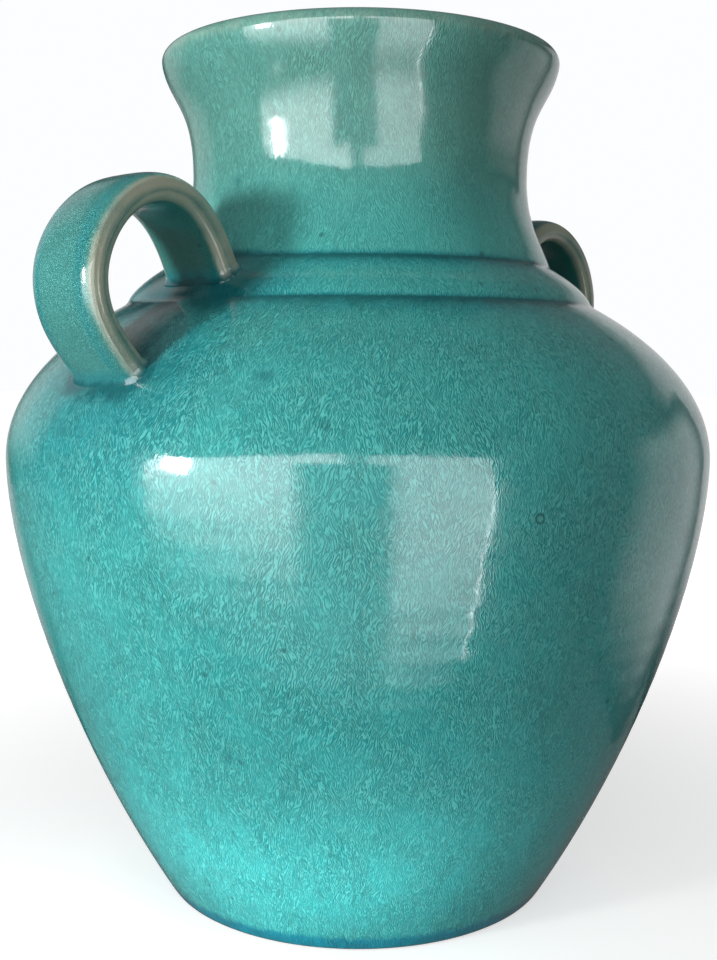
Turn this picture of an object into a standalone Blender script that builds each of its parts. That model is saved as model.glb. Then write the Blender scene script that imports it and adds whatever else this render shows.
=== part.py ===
"""Two-handled glazed stoneware amphora vase, built as a potter builds it.

A thrown body, a collar ring over its opening, a thrown neck with a rolled lip,
and two pulled strap handles. Metres, +Z up, origin at the centre of the foot,
the handles along X.
"""
from math import copysign, cos, pi, radians, sin

import bmesh
import bpy
from mathutils import Vector
from mathutils.geometry import interpolate_bezier

UPRIGHT = radians(90)

# Driving dimensions: radii, heights and angles of the turned outline. Angles are from level.
HEIGHT = 0.320
FOOT_RADIUS = 0.0752
FOOT_EDGE = 0.0030           # height of the rounded edge under the wall
FOOT_SPREAD = 0.0018         # how far the wall has spread at the top of that edge
FOOT_ANGLE = radians(58.7)   # lean of the wall over the foot
BELLY_RADIUS = 0.1344
BELLY_HEIGHT = 0.1687
SHOULDER_RADIUS = 0.0893     # crease under the collar
SHOULDER_HEIGHT = 0.2258
SHOULDER_ANGLE = radians(152.5)
COLLAR_ANGLES = (radians(103), radians(149))
NECK_FOOT_RADIUS = 0.0737    # crease over the collar
NECK_FOOT_HEIGHT = 0.2403
NECK_FOOT_ANGLE = radians(110.5)
WAIST_RADIUS = 0.0641
WAIST_HEIGHT = 0.2749
LIP_RADIUS = 0.0756
LIP_ROUNDING = 0.0038        # radius of the rolled lip
LIP_ANGLE = radians(78)      # lean of the wall under the lip
LIP_START = 1.3              # where the lip starts, in its own radii below the top
LIP_STEP = 0.0001            # how little the lip stands out over the wall under it

# How long the curves hold their direction: pulls at start and end, as shares of the chord.
FLANK_PULLS = (0.382, 0.226)
SHOULDER_PULLS = (0.399, 0.246)
COLLAR_PULLS = (0.220, 0.390)
NECK_FOOT_PULLS = (0.336, 0.478)
NECK_LIP_PULLS = (0.625, 0.314)
HEEL_PULLS = (0.4, 0.4)
STRAP_TOP_PULLS = (1.02, 0.44)
STRAP_TOE_PULLS = (0.41, 0.35)

# Clay thicknesses, and the openings where the thrown sections meet.
WALL = 0.0060
FLOOR = 0.0090
BODY_OPENING_RADIUS = 0.0800
NECK_BORE_RADIUS = 0.0680
FOOT_RING_WIDTH = 0.0130
FOOT_RECESS = 0.0035         # depth of the hollow turned under the floor
RECESS_SLOPE = 0.0025        # how far the recess wall leans in
FOOT_BEVEL = (0.0020, 0.0008)        # width and height of the bevel under the foot's edge
HEEL_SHARE = 0.62            # flat part of the inside floor, as a share of the foot's radius
HEEL_RISE = 0.012            # height over the floor that the inside corner takes up
HEEL_ANGLE = radians(60)
SEAT_DROP = 0.009            # the inside wall ends this far below the body's rim
RIM_DEPTH = 0.0036           # height of the straight rim of the body's opening

# Strap handles: a loop from the collar out and down to the shoulder.
STRAP_THICKNESS = 0.0104
STRAP_TOP_WIDTH = 0.0320
STRAP_BOTTOM_WIDTH = 0.0340
STRAP_SQUARENESS = (0.6, 0.8)        # exponents of the section, across and through (1 is an ellipse)
STRAP_ROOT = Vector((0.0788, 0.0, 0.2288))    # inside the collar
STRAP_OUTER = Vector((0.1345, 0.0, 0.2299))   # outermost point of the loop
STRAP_TOE = Vector((0.1116, 0.0, 0.1896))     # inside the shoulder
STRAP_ROOT_ANGLE = radians(73.2)
STRAP_TOE_ANGLE = radians(-113.9)
RIGHT_HANDLE_SKEW = radians(-3.2)             # set by eye, a little off opposite
RIGHT_HANDLE_SHIFT = Vector((-0.0010, 0.0, 0.0025))

# Clearance kept between one piece and the next.
GAP = 0.0003

# How finely the round shapes are drawn.
TURN_STEPS = 64
FLANK_STEPS = 14
SHOULDER_STEPS = 9
COLLAR_STEPS = 7
NECK_FOOT_STEPS = 6
NECK_LIP_STEPS = 8
HEEL_STEPS = 5
LIP_STEPS = 6
STRAP_STEPS = 26
SECTION_STEPS = 14

# Glaze and clay colours (linear), roughness.
TURQUOISE = (0.060, 0.330, 0.295, 1.0)
SEA_GREEN = (0.085, 0.300, 0.260, 1.0)
PALE_TEAL = (0.110, 0.340, 0.300, 1.0)
GLAZE_ROUGHNESS = 0.12


def clear_scene():
    for item in list(bpy.data.objects):
        bpy.data.objects.remove(item, do_unlink=True)


def glaze(name, color):
    material = bpy.data.materials.new(name)
    material.use_nodes = True
    shader = material.node_tree.nodes["Principled BSDF"]
    shader.inputs["Base Color"].default_value = color
    shader.inputs["Roughness"].default_value = GLAZE_ROUGHNESS
    shader.inputs["Metallic"].default_value = 0.0
    return material


def point(radius, height):
    return Vector((radius, 0.0, height))


def direction(angle):
    return Vector((cos(angle), 0.0, sin(angle)))


def bend(start, start_angle, end, end_angle, pulls, steps):
    """A smooth curve from start to end that leaves and arrives at the given angles."""
    chord = (end - start).length
    first = start + direction(start_angle) * chord * pulls[0]
    second = end - direction(end_angle) * chord * pulls[1]
    return interpolate_bezier(start, first, second, end, steps)


def inset(outline, depth):
    """The outline moved inwards, towards the axis side, along its normals."""
    moved = []
    for index, here in enumerate(outline):
        before = outline[max(index - 1, 0)]
        after = outline[min(index + 1, len(outline) - 1)]
        along = (after - before).normalized()
        moved.append(here + Vector((-along.z, 0.0, along.x)) * depth)
    return moved


def belly_outline():
    """Outer wall of the body, from the foot edge up to the collar's crease."""
    foot = point(FOOT_RADIUS + FOOT_SPREAD, FOOT_EDGE)
    belly = point(BELLY_RADIUS, BELLY_HEIGHT)
    crease = point(SHOULDER_RADIUS, SHOULDER_HEIGHT)
    flank = bend(foot, FOOT_ANGLE, belly, UPRIGHT, FLANK_PULLS, FLANK_STEPS)
    shoulder = bend(belly, UPRIGHT, crease, SHOULDER_ANGLE, SHOULDER_PULLS, SHOULDER_STEPS)
    return flank + shoulder[1:]


def collar_outline():
    """Outer face of the collar ring, from one crease up to the other."""
    lower = point(SHOULDER_RADIUS, SHOULDER_HEIGHT)
    upper = point(NECK_FOOT_RADIUS, NECK_FOOT_HEIGHT)
    return bend(lower, COLLAR_ANGLES[0], upper, COLLAR_ANGLES[1], COLLAR_PULLS, COLLAR_STEPS)


def neck_outline():
    """Outer wall of the neck, from its foot up to the start of the lip."""
    foot = point(NECK_FOOT_RADIUS, NECK_FOOT_HEIGHT)
    waist = point(WAIST_RADIUS, WAIST_HEIGHT)
    lip = point(LIP_RADIUS - LIP_STEP, HEIGHT - LIP_ROUNDING * LIP_START)
    lower = bend(foot, NECK_FOOT_ANGLE, waist, UPRIGHT, NECK_FOOT_PULLS, NECK_FOOT_STEPS)
    upper = bend(waist, UPRIGHT, lip, LIP_ANGLE, NECK_LIP_PULLS, NECK_LIP_STEPS)
    return lower + upper[1:]


def lip_arc():
    """The rolled lip, over the top from the outer wall to the inner one."""
    centre = point(LIP_RADIUS - LIP_ROUNDING, HEIGHT - LIP_ROUNDING)
    return [centre + direction(pi * step / LIP_STEPS) * LIP_ROUNDING
            for step in range(LIP_STEPS + 1)]


def turned(name, outline, material, closed):
    """Turn an outline about Z. It runs down the outer side, top to bottom."""
    mesh = bpy.data.meshes.new(name)
    count = len(outline)
    edges = [(step, (step + 1) % count) for step in range(count if closed else count - 1)]
    mesh.from_pydata(outline, edges, [])
    piece = bpy.data.objects.new(name, mesh)
    bpy.context.scene.collection.objects.link(piece)
    screw = piece.modifiers.new("Turn", 'SCREW')
    screw.axis = 'Z'
    screw.steps = TURN_STEPS
    screw.render_steps = TURN_STEPS
    screw.use_merge_vertices = True
    screw.merge_threshold = 0.00001
    screw.use_smooth_shade = True
    mesh.materials.append(material)
    return piece


def make_body():
    outer = belly_outline()
    seat = SHOULDER_HEIGHT - GAP
    outer[-1] = point(SHOULDER_RADIUS, seat)
    floor_top = FOOT_RECESS + FLOOR
    walls = [place for place in inset(outer, WALL)[::2]
             if floor_top + HEEL_RISE < place.z < seat - SEAT_DROP]
    heel = bend(point(FOOT_RADIUS * HEEL_SHARE, floor_top), 0.0,
                walls[0], HEEL_ANGLE, HEEL_PULLS, HEEL_STEPS)
    opening = [point(BODY_OPENING_RADIUS, seat - RIM_DEPTH), point(BODY_OPENING_RADIUS, seat)]
    ring_inner = FOOT_RADIUS - FOOT_RING_WIDTH
    bevel_width, bevel_height = FOOT_BEVEL
    base = [point(FOOT_RADIUS, bevel_height),
            point(FOOT_RADIUS - bevel_width, 0.0),
            point(ring_inner, 0.0),
            point(ring_inner - RECESS_SLOPE, FOOT_RECESS),
            point(0.0, FOOT_RECESS)]
    inside = [point(0.0, floor_top)] + heel[:-1] + walls + opening
    outline = inside + outer[::-1] + base
    return turned("body", outline, glaze("body_glaze", TURQUOISE), closed=False)


def make_collar():
    outer = collar_outline()
    top = NECK_FOOT_HEIGHT - GAP
    outer[-1] = point(NECK_FOOT_RADIUS, top)
    bore = [point(BODY_OPENING_RADIUS, SHOULDER_HEIGHT), point(NECK_BORE_RADIUS, top)]
    return turned("collar_ring", bore + outer[::-1], glaze("collar_glaze", SEA_GREEN), closed=True)


def make_neck():
    outer = neck_outline()
    inner = [point(NECK_BORE_RADIUS, NECK_FOOT_HEIGHT)] + inset(outer, WALL)[2:-1:2]
    outline = inner + lip_arc()[::-1] + outer[::-1][1:]
    return turned("neck", outline, glaze("neck_glaze", PALE_TEAL), closed=True)


def strap_path():
    steps = STRAP_STEPS // 2 + 1
    top = bend(STRAP_ROOT, STRAP_ROOT_ANGLE, STRAP_OUTER, -UPRIGHT, STRAP_TOP_PULLS, steps)
    toe = bend(STRAP_OUTER, -UPRIGHT, STRAP_TOE, STRAP_TOE_ANGLE, STRAP_TOE_PULLS, steps)
    return top + toe[1:]


def strap_mesh(name):
    """A flattened oval section swept round the loop, its ends left long."""
    path = strap_path()
    mesh = bmesh.new()
    rings = []
    for index, centre in enumerate(path):
        before = path[max(index - 1, 0)]
        after = path[min(index + 1, len(path) - 1)]
        along = (after - before).normalized()
        out = Vector((-along.z, 0.0, along.x))
        share = index / (len(path) - 1)
        half_width = (STRAP_TOP_WIDTH + (STRAP_BOTTOM_WIDTH - STRAP_TOP_WIDTH) * share) / 2
        ring = []
        for step in range(SECTION_STEPS):
            angle = 2 * pi * step / SECTION_STEPS
            across = copysign(abs(cos(angle)) ** STRAP_SQUARENESS[0], cos(angle))
            through = copysign(abs(sin(angle)) ** STRAP_SQUARENESS[1], sin(angle))
            place = centre + out * through * STRAP_THICKNESS / 2
            ring.append(mesh.verts.new(place + Vector((0.0, across * half_width, 0.0))))
        rings.append(ring)
    for ring, following in zip(rings, rings[1:]):
        for step in range(SECTION_STEPS):
            beside = (step + 1) % SECTION_STEPS
            mesh.faces.new((ring[step], ring[beside], following[beside], following[step]))
    mesh.faces.new(rings[0][::-1])
    mesh.faces.new(rings[-1])
    bmesh.ops.recalc_face_normals(mesh, faces=mesh.faces)
    data = bpy.data.meshes.new(name)
    mesh.to_mesh(data)
    mesh.free()
    data.shade_smooth()
    return data


def make_cutter():
    """The outside of body, collar and neck, one gap larger."""
    outer = belly_outline() + collar_outline()[1:] + neck_outline()[1:]
    grown = inset(outer, -GAP)
    outline = [point(0.0, grown[-1].z)] + grown[::-1] + [point(0.0, grown[0].z)]
    cutter = turned("vessel_cutter", outline, glaze("cutter_clay", SEA_GREEN), closed=False)
    cutter.hide_render = True
    cutter.display_type = 'WIRE'
    return cutter


def make_handle(name, turn, shift, cutter):
    mesh = strap_mesh(name)
    mesh.materials.append(glaze(name + "_glaze", SEA_GREEN))
    handle = bpy.data.objects.new(name, mesh)
    bpy.context.scene.collection.objects.link(handle)
    handle.location = shift
    handle.rotation_euler = (0.0, 0.0, turn)
    trim = handle.modifiers.new("Trim", 'BOOLEAN')
    trim.operation = 'DIFFERENCE'
    trim.solver = 'EXACT'
    trim.object = cutter
    return handle


def main():
    clear_scene()
    make_body()
    make_collar()
    make_neck()
    cutter = make_cutter()
    make_handle("handle_left", pi, Vector((0.0, 0.0, 0.0)), cutter)
    make_handle("handle_right", RIGHT_HANDLE_SKEW, RIGHT_HANDLE_SHIFT, cutter)


main()
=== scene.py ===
"""Glazed stoneware amphora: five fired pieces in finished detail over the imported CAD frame.

Every mesh is modelled in the row frame, in metres, +Z up, with the handles along X.
"""
from math import cos, pi, radians, sin, tan

import bpy
import numpy as np
from mathutils import Matrix, Vector
from mathutils.geometry import interpolate_bezier


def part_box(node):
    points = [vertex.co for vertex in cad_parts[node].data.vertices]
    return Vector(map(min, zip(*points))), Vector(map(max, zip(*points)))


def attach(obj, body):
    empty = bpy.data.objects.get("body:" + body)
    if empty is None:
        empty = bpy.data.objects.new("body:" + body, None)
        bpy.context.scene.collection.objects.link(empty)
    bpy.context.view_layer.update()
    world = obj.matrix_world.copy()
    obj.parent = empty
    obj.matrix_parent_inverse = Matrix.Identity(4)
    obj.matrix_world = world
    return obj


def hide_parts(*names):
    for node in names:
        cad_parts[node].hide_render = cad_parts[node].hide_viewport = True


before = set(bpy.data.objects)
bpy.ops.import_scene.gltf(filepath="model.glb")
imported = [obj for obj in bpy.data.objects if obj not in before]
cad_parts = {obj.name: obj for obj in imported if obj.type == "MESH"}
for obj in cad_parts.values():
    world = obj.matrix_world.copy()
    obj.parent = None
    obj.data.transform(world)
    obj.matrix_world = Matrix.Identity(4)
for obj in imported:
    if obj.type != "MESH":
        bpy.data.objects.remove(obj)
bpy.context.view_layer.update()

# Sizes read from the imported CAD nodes.
BODY_BOX, COLLAR_BOX, NECK_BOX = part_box("body"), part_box("collar_ring"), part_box("neck")
LEFT_BOX, RIGHT_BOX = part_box("handle_left"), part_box("handle_right")
HEIGHT = NECK_BOX[1][2]
BELLY_RADIUS = BODY_BOX[1][0]
SHOULDER_RADIUS = COLLAR_BOX[1][0]
SHOULDER_HEIGHT = COLLAR_BOX[0][2]
NECK_FOOT_HEIGHT = NECK_BOX[0][2]
LIP_RADIUS = NECK_BOX[1][0]
RIGHT_HANDLE_LIFT = RIGHT_BOX[1][2] - LEFT_BOX[1][2]

# The rest of the turned outline, as in the CAD.
FOOT_RADIUS = 0.0752
FOOT_EDGE = 0.0030
BELLY_HEIGHT = 0.1687
NECK_FOOT_RADIUS = 0.0737
WAIST_RADIUS = 0.0641
WAIST_HEIGHT = 0.2749
LIP_ROUNDING = 0.0038
WALL = 0.0060
FLOOR = 0.0090
BODY_OPENING_RADIUS = 0.0800
NECK_BORE_RADIUS = 0.0680
FOOT_RING_WIDTH = 0.0130
FOOT_RECESS = 0.0035
RING_INNER = FOOT_RADIUS - FOOT_RING_WIDTH
NODE_GAP = 0.0003            # between neighbouring CAD nodes

# Strap handles.
STRAP_THICKNESS = 0.0104
STRAP_TOP_WIDTH = 0.0320
STRAP_BOTTOM_WIDTH = 0.0340
STRAP_ROOT = Vector((0.0788, 0.0, 0.2288))
STRAP_OUTER = Vector((-LEFT_BOX[0][0] - STRAP_THICKNESS / 2, 0.0, 0.2299))
STRAP_TOE = Vector((0.1116, 0.0, 0.1896))
STRAP_ROOT_ANGLE = radians(73.2)
STRAP_TOE_ANGLE = radians(-113.9)
RIGHT_HANDLE_SKEW = radians(-3.2)
RIGHT_HANDLE_INSET = 0.0010

AROUND = 384                 # steps round the turned pieces
SHARP_ANGLE = radians(42)    # edges sharper than this aren't shaded smooth
CREASE_SOFTNESS = 0.0011     # how far the glaze rounds off the two creases
JOINT_FILLET = 0.0024        # glaze and slip in the corner round a handle's end
JOINT_DEPTH = 0.0010         # how deep a handle's hidden end face lies in the wall
CONTACT_WIDTH = 0.0010       # how near the wall a handle's point is to lie on their meeting line
OUTLINE_SPACING = 0.00025    # between the points of the vessel's outline, before it is thinned
FINE_REACH = 0.012           # how far from a crease the outline's points are closer together
FLOOR_ROWS = 10              # rings of points on the inner floor
STRAP_SPACING = 0.0009       # between a strap's sections
STRAP_POINTS = 84            # points round a strap's section
RIB_HEIGHT = 0.00020         # height of the ribs along a strap's edges
CROWN_HEIGHT = 0.00035       # how far a strap's broad faces swell

# What the potter's hands leave on the turned pieces.
OUT_OF_ROUND = 0.00030       # how far they are oval
THREE_LOBES = 0.00016        # and how far three-lobed
THROWING_DEPTH = 0.000045    # depth of the throwing rings
THROWING_PITCH = 0.0085      # height from one ring to the next

# The glaze's pattern lies on a cylinder of about each piece's own radius.
BODY_SKIN_RADIUS = 0.118
COLLAR_SKIN_RADIUS = 0.092
NECK_SKIN_RADIUS = 0.076
STRAP_SKIN_RADIUS = 0.1
PLAIN_SKIN_LIFT = 0.7        # keeps the pattern on level faces apart from the wall's

# The glaze's marks, from 0 to 1 at each point: thick glaze, with painted shade by the handles' roots, thin
# glaze, bare clay and the inner side, which is painted darker as shade.
MARKS = ("pool_and_painted_shade", "thin", "bare", "inner")


# ---------------------------------------------------------------- outlines

def point(radius, height):
    return Vector((radius, 0.0, height))


def direction(angle):
    return Vector((cos(angle), 0.0, sin(angle)))


def bend(start, start_angle, start_pull, end, end_angle, end_pull, steps):
    """A smooth curve from start to end. Pulls are shares of the chord."""
    chord = (end - start).length
    first = start + direction(start_angle) * chord * start_pull
    second = end - direction(end_angle) * chord * end_pull
    return interpolate_bezier(start, first, second, end, steps)


def flat(points):
    return np.array([(place.x, place.z) for place in points])


def lengths(line):
    steps = np.linalg.norm(np.diff(line, axis=0), axis=1)
    return np.concatenate(([0.0], np.cumsum(steps)))


def evenly(line, spacing):
    """The line sampled again, about one point every spacing."""
    run = lengths(line)
    count = max(2, int(round(run[-1] / spacing)) + 1)
    return at_lengths(line, np.linspace(0.0, run[-1], count))


def at_lengths(line, wanted):
    run = lengths(line)
    return np.column_stack([np.interp(wanted, run, line[:, axis]) for axis in (0, 1)])


def normals(line):
    """Unit normals to the left of the direction of travel."""
    along = np.gradient(line, axis=0)
    along /= np.linalg.norm(along, axis=1)[:, None]
    return np.column_stack((-along[:, 1], along[:, 0]))


def belly_outline():
    foot = point(FOOT_RADIUS + 0.0018, FOOT_EDGE)
    belly = point(BELLY_RADIUS, BELLY_HEIGHT)
    crease = point(SHOULDER_RADIUS, SHOULDER_HEIGHT)
    flank = bend(foot, radians(58.7), 0.382, belly, radians(90), 0.226, 400)
    shoulder = bend(belly, radians(90), 0.399, crease, radians(152.5), 0.246, 240)
    return np.vstack((flat(flank), flat(shoulder)[1:]))


def collar_outline():
    lower = point(SHOULDER_RADIUS, SHOULDER_HEIGHT)
    upper = point(NECK_FOOT_RADIUS, NECK_FOOT_HEIGHT)
    return flat(bend(lower, radians(103), 0.22, upper, radians(149), 0.39, 100))


def neck_outline():
    foot = point(NECK_FOOT_RADIUS, NECK_FOOT_HEIGHT)
    waist = point(WAIST_RADIUS, WAIST_HEIGHT)
    lip = point(LIP_RADIUS - 0.0001, HEIGHT - LIP_ROUNDING * 1.3)
    lower = bend(foot, radians(110.5), 0.336, waist, radians(90), 0.478, 120)
    upper = bend(waist, radians(90), 0.625, lip, radians(78), 0.314, 160)
    return np.vstack((flat(lower), flat(upper)[1:]))


def lip_arc():
    centre = np.array((LIP_RADIUS - LIP_ROUNDING, HEIGHT - LIP_ROUNDING))
    angles = np.linspace(0.0, pi, 26)
    return centre + LIP_ROUNDING * np.column_stack((np.cos(angles), np.sin(angles)))


def softened(line, middle, softness):
    """The line with its corner at length `middle` rounded off by a running average."""
    run = lengths(line)
    near = np.abs(run - middle) < 4 * softness
    result = line.copy()
    for index in np.flatnonzero(near):
        spread = softness * (1 - (abs(run[index] - middle) / (4 * softness)) ** 2)
        weight = np.exp(-0.5 * ((run - run[index]) / max(spread, 1e-5)) ** 2)
        result[index] = (line * weight[:, None]).sum(axis=0) / weight.sum()
    return result


def vessel_outline():
    """Foot to lip as one line, with both creases filled by glaze, and where they are."""
    parts = [evenly(part, OUTLINE_SPACING) for part in (belly_outline(), collar_outline(), neck_outline())]
    line = np.vstack((parts[0], parts[1][1:], parts[2][1:]))
    lower, upper = len(parts[0]) - 1, len(parts[0]) + len(parts[1]) - 2
    run = lengths(line)
    for corner in (lower, upper):
        line = softened(line, run[corner], CREASE_SOFTNESS)
    return line, lower, upper


OUTLINE, LOWER_CREASE, UPPER_CREASE = vessel_outline()
RUN = lengths(OUTLINE)


def thinned(start, end, coarse, fine):
    """Part of the vessel's outline, with close points by the creases and wide ones elsewhere."""
    kept = [start]
    for index in range(start, end + 1):
        crease = min(abs(RUN[index] - RUN[LOWER_CREASE]), abs(RUN[index] - RUN[UPPER_CREASE]))
        share = min(1.0, crease / FINE_REACH)
        if RUN[index] - RUN[kept[-1]] >= fine + (coarse - fine) * share:
            kept.append(index)
    if kept[-1] != end:
        kept.append(end)
    return OUTLINE[kept], RUN[kept]


def on_wall(degrees, height):
    """The point of the outer wall at an angle from +X and a height."""
    radius = np.interp(height, OUTLINE[:, 1], OUTLINE[:, 0])
    return (radius * cos(radians(degrees)), radius * sin(radians(degrees)), height)


# Small faults of the glaze: a burst bubble with its ring, and soft dark spots with their sizes.
BUBBLE = on_wall(-114.0, 0.1588)
DARK_SPOTS = ((on_wall(-151.2, 0.2010), 0.0048), (on_wall(-179.3, 0.2679), 0.0036),
              (on_wall(-142.2, 0.1868), 0.0030), (on_wall(-158.5, 0.0797), 0.0034),
              (on_wall(38.0, 0.1350), 0.0042))


# ---------------------------------------------------------------- turned pieces

def hand_made(points):
    """Turned points moved by the small unevenness that a potter's hands leave."""
    radius = np.hypot(points[:, 0], points[:, 1])
    angle = np.arctan2(points[:, 1], points[:, 0])
    height = points[:, 2] / HEIGHT
    swell = np.sin(pi * np.clip(height, 0, 1))
    move = OUT_OF_ROUND * swell * np.cos(2 * angle - 0.7 + 1.5 * height)
    move += THREE_LOBES * swell * np.cos(3 * angle + 1.1 - 4.0 * height)
    groove = 2 * pi * (points[:, 2] / THROWING_PITCH + angle / (2 * pi))
    strength = 0.5 + 0.5 * np.sin(9.0 * height + 2.0 * np.sin(angle + 1.0))
    move += THROWING_DEPTH * strength * swell * np.sin(groove)
    share = np.clip(radius / 0.03, 0, 1)
    scale = 1 + np.where(radius > 1e-6, move * share / np.maximum(radius, 1e-6), 0)
    return points * np.column_stack((scale, scale, np.ones_like(scale)))


def linked(name, data):
    """A new object in the scene."""
    item = bpy.data.objects.new(name, data)
    bpy.context.scene.collection.objects.link(item)
    return item


def add_piece(name, vertices, faces, attributes):
    """A smooth-shaded mesh with a value or a vector of each attribute at each vertex."""
    mesh = bpy.data.meshes.new(name)
    mesh.from_pydata(vertices.tolist(), [], faces)
    mesh.update()
    mesh.shade_smooth()
    for key, values in attributes.items():
        values = np.asarray(values, dtype=np.float32)
        if values.ndim == 2:
            layer = mesh.attributes.new(key, 'FLOAT_VECTOR', 'POINT')
            layer.data.foreach_set("vector", values.ravel())
        else:
            layer = mesh.attributes.new(key, 'FLOAT', 'POINT')
            layer.data.foreach_set("value", values)
    mesh.set_sharp_from_angle(angle=SHARP_ANGLE)
    return linked(name, mesh)


def turned(name, profile, along, skin_radius, marks, closed, level_rows=None):
    """Turns a profile of (radius, height) about Z.

    A closed profile is a ring, and an open one starts and ends on the axis. marks maps a mark of the glaze to
    its value at each profile point, or to a function of (points, profile index). A mark left out is 0. The
    glaze's own coordinates, "skin", run round a cylinder of skin_radius and along the profile. On level_rows
    they are the plain ones.
    """
    if level_rows is None:
        level_rows = np.zeros(len(profile), bool)
    count = len(profile)
    turns = np.arange(AROUND) * 2 * pi / AROUND
    first, last = (0, count) if closed else (1, count - 1)
    rows = profile[first:last]
    radius, height = rows[:, 0][:, None], rows[:, 1][:, None]
    grid = np.stack((radius * np.cos(turns), radius * np.sin(turns), height + 0 * turns), axis=-1)
    vertices = grid.reshape(-1, 3)
    row_of = np.repeat(np.arange(first, last), AROUND)
    number = last - first
    faces = []
    for row in range(number if closed else number - 1):
        following = (row + 1) % number
        here, there = row * AROUND, following * AROUND
        for step in range(AROUND):
            beside = (step + 1) % AROUND
            faces.append((here + step, here + beside, there + beside, there + step))
    if not closed:
        start, end = len(vertices), len(vertices) + 1
        vertices = np.vstack((vertices, (0, 0, profile[0, 1]), (0, 0, profile[-1, 1])))
        row_of = np.append(row_of, (0, count - 1))
        final = (number - 1) * AROUND
        for step in range(AROUND):
            beside = (step + 1) % AROUND
            faces.append((start, beside, step))
            faces.append((end, final + step, final + beside))
    angle = np.arctan2(vertices[:, 1], vertices[:, 0])
    vertices = hand_made(vertices)
    wrapped = np.column_stack((skin_radius * np.cos(angle), skin_radius * np.sin(angle), along[row_of]))
    plain = vertices + (0, 0, PLAIN_SKIN_LIFT)
    values = {"skin": np.where(level_rows[row_of][:, None], plain, wrapped)}
    for key in MARKS:
        value = marks.get(key, np.zeros(count))
        values[key] = value(vertices, row_of) if callable(value) else value[row_of]
    return add_piece(name, vertices, faces, values)


def bump_at(values, middle, width):
    """1 at the middle, falling smoothly to 0 on both sides."""
    return np.exp(-((values - middle) / width) ** 2)


def smooth_step(values, low, high):
    """0 up to low and 1 from high, with a smooth rise between."""
    share = np.clip((values - low) / (high - low), 0, 1)
    return share * share * (3 - 2 * share)


# ---------------------------------------------------------------- strap handles

def vessel_distance(points):
    """How far points are outside the vessel's outer wall, negative inside, and the wall's outward normals."""
    shape = points.shape
    points = points.reshape(-1, 3)
    radius = np.hypot(points[:, 0], points[:, 1])
    line = OUTLINE[::4]
    outward = -normals(line)
    flat_points = np.column_stack((radius, points[:, 2]))
    apart = ((flat_points[:, None, :] - line[None, :, :]) ** 2).sum(axis=2)
    nearest = apart.argmin(axis=1)
    offset = flat_points - line[nearest]
    distance = (offset * outward[nearest]).sum(axis=1)
    out = outward[nearest]
    unit = points[:, :2] / np.maximum(radius, 1e-9)[:, None]
    facing = np.column_stack((unit * out[:, :1], out[:, 1]))
    return distance.reshape(shape[:-1]), facing.reshape(shape)


def strap_path():
    top = bend(STRAP_ROOT, STRAP_ROOT_ANGLE, 1.02, STRAP_OUTER, radians(-90), 0.44, 200)
    toe = bend(STRAP_OUTER, radians(-90), 0.41, STRAP_TOE, STRAP_TOE_ANGLE, 0.35, 200)
    return evenly(np.vstack((flat(top), flat(toe)[1:])), STRAP_SPACING)


def strap_section():
    """Points round the strap: how far across it and through it they are, both from -1 to 1."""
    angle = 2 * pi * np.arange(STRAP_POINTS) / STRAP_POINTS
    angle = angle + 0.11 * np.sin(4 * angle)      # more points where the edges turn
    across = np.sign(np.cos(angle)) * np.abs(np.cos(angle)) ** 0.52
    through = np.sign(np.sin(angle)) * np.abs(np.sin(angle)) ** 0.72
    return across, through


def swept_strap(across, through, seed):
    """Sections along the strap's path, with ribbed edges and an uneven width.

    Returns the sections' points, the glaze's coordinates on them, and each section's length along the path.
    """
    path = strap_path()
    run = lengths(path)
    out = normals(path)
    share = np.linspace(0, 1, len(path))[:, None]
    wobble = 1 + 0.012 * np.sin(9 * share + seed) + 0.008 * np.sin(23 * share + 2 * seed)
    half_width = (STRAP_TOP_WIDTH + (STRAP_BOTTOM_WIDTH - STRAP_TOP_WIDTH) * share) / 2 * wobble
    half_thickness = STRAP_THICKNESS / 2 * (1 + 0.02 * np.sin(14 * share + seed))
    ribs = RIB_HEIGHT * smooth_step(np.abs(across), 0.86, 0.99) * (np.cos(3.1 * pi * through) - 0.35)
    crown = CROWN_HEIGHT * np.where(through > 0, 1 - across ** 2, -0.6 * (1 - across ** 2))
    side = across * half_width + np.sign(across) * ribs
    up = through * half_thickness + crown * (np.abs(through) > 0.5)
    grid = np.stack((path[:, :1] + out[:, :1] * up, side, path[:, 1:] + out[:, 1:] * up), axis=-1)
    skin = np.stack((side + seed, up, run[:, None] + 0 * up), axis=-1)
    return grid, skin, run


def filleted(grid, gap):
    """The sections, flared near the vessel's wall as slip and glaze fill the corner."""
    along = np.gradient(grid, axis=0)
    around = np.roll(grid, -1, axis=1) - np.roll(grid, 1, axis=1)
    facing = np.cross(around, along)
    facing /= np.maximum(np.linalg.norm(facing, axis=2), 1e-12)[:, :, None]
    centre = grid.mean(axis=1, keepdims=True)
    if ((grid - centre) * facing).sum() < 0:
        facing = -facing
    inside = np.clip(1 - gap / JOINT_FILLET, 0, 1)
    flare = JOINT_FILLET * (1 - np.sqrt(1 - np.minimum(inside, 0.97) ** 2))
    return grid + facing * flare[:, :, None]


def raised(points):
    """The points, none deeper in the vessel's wall than a hidden end, and which of them were deeper."""
    distance, outward = vessel_distance(points)
    sunk = np.maximum(-JOINT_DEPTH - distance, 0)
    return points + outward * sunk[..., None], distance < -JOINT_DEPTH


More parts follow.
